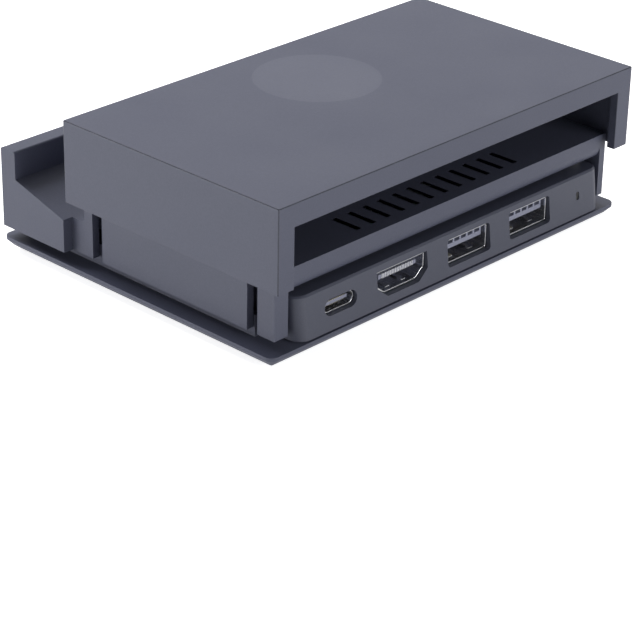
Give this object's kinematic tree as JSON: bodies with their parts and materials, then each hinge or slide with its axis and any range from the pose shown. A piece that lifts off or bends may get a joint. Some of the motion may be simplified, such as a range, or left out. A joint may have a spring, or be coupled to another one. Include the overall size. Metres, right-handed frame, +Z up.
{
  "type": "handheld console dock",
  "caption": "Low dock for a handheld game console: hollow overhanging cover, sloped slot with a plug behind a lip, bevelled base plate and a leaning port box at the back.",
  "frame": {"origin": "middle of the dock's box in plan, on the table under the feet", "axes": "+X from end to end, +Y towards the ports at the back, +Z up from the table"},
  "size_m": [0.108, 0.082, 0.0355],
  "materials": {
    "black_plastic": "fine matte moulded texture",
    "foot_rubber": "matte",
    "plated_steel": "satin plating",
    "screw_steel": "satin",
    "insulator": "matte",
    "contact_plate": "satin",
    "board_laminate": "satin",
    "chip_resin": "matte",
    "capacitor_ceramic": "satin",
    "light_clear": "clear"
  },
  "bodies": {
    "root": {"top_cover": "black_plastic", "housing": "black_plastic", "port_box": "black_plastic", "base_plate": "black_plastic", "plug_pedestal": "black_plastic", "foot_front_left": "foot_rubber", "foot_front_right": "foot_rubber", "foot_back_left": "foot_rubber", "foot_back_right": "foot_rubber", "type_a_shell_1": "plated_steel", "type_a_shell_2": "plated_steel", "video_shell": "plated_steel", "type_c_shell": "plated_steel", "plug_shell": "plated_steel", "board_screws": "screw_steel", "type_a_tongue_1": "insulator", "type_a_tongue_2": "insulator", "video_tongue": "insulator", "type_c_tongue": "insulator", "plug_insert": "insulator", "type_a_contacts_1": "contact_plate", "type_a_contacts_2": "contact_plate", "video_contacts": "contact_plate", "type_c_contacts": "contact_plate", "main_board": "board_laminate", "hub_chip": "chip_resin", "video_chip": "chip_resin", "power_chip": "chip_resin", "inductors": "chip_resin", "capacitors": "capacitor_ceramic", "crystal": "screw_steel", "status_led": "light_clear", "light_pipe": "light_clear"}
  },
  "joints": []
}
